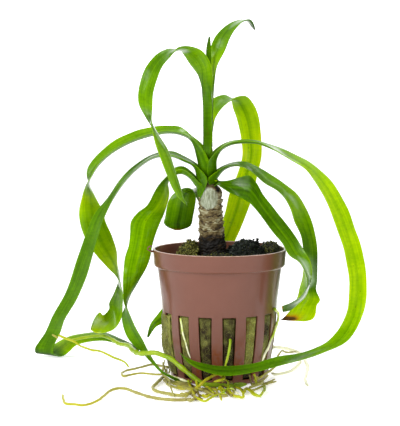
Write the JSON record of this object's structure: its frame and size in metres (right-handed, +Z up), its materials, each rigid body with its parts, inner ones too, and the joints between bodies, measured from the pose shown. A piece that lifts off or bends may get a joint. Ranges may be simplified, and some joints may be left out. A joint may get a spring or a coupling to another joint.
{
  "type": "potted aquarium plant",
  "caption": "Crinum water plant with long arching strap leaves on a short scarred stem, in a slotted brown plastic pot with its roots spread around the base.",
  "frame": {"origin": "centre of the pot's underside, on the surface that the pot stands on", "axes": "+Z up along the pot's axis; -Y faces the viewer of the front view, and +X is to that viewer's right"},
  "size_m": [0.1396, 0.1073, 0.1474],
  "materials": {
    "pot_plastic": "moulded brown plastic with a soft gloss",
    "mineral_wool": "matted olive fibres",
    "moss": "short olive moss",
    "soil_crumb": "near-black wet crumbs",
    "stem_skin": "scarred papery skin, matt",
    "leaf_green": "wet green leaf with parallel veins, glossy",
    "root_green": "smooth yellow-green root, moist",
    "root_tan": "smooth tan root, moist",
    "root_cream": "pale cream root tip, moist"
  },
  "bodies": {
    "root": {"pot": "pot_plastic", "wool_plug": "mineral_wool", "moss_cushion": "moss", "moss_patch": "moss", "soil_mound": "soil_crumb", "stem": "stem_skin", "leaf_spear": "leaf_green", "leaf_top_right": "leaf_green", "leaf_centre_arch": "leaf_green", "leaf_right_back": "leaf_green", "leaf_left_back": "leaf_green", "leaf_left_long": "leaf_green", "leaf_left_broad": "leaf_green", "leaf_left_cut": "leaf_green", "leaf_right_long": "leaf_green", "leaf_right_middle": "leaf_green", "leaf_right_front": "leaf_green", "root_thick_green": "root_green", "root_side_branch": "root_green", "root_left_loop": "root_green", "root_long_trailing": "root_green", "root_low_left_loop": "root_green", "root_raised_loop": "root_green", "root_right_zigzag": "root_green", "root_slot_green": "root_green", "root_strand_inner": "root_green", "root_strand_outer": "root_green", "root_right_tan": "root_tan", "root_front_loop": "root_tan", "root_right_wall": "root_tan", "root_back_right": "root_tan", "root_right_arc": "root_tan", "root_thin_crossing": "root_tan", "root_cream_curl": "root_cream", "root_slot_pale": "root_cream"}
  },
  "joints": []
}
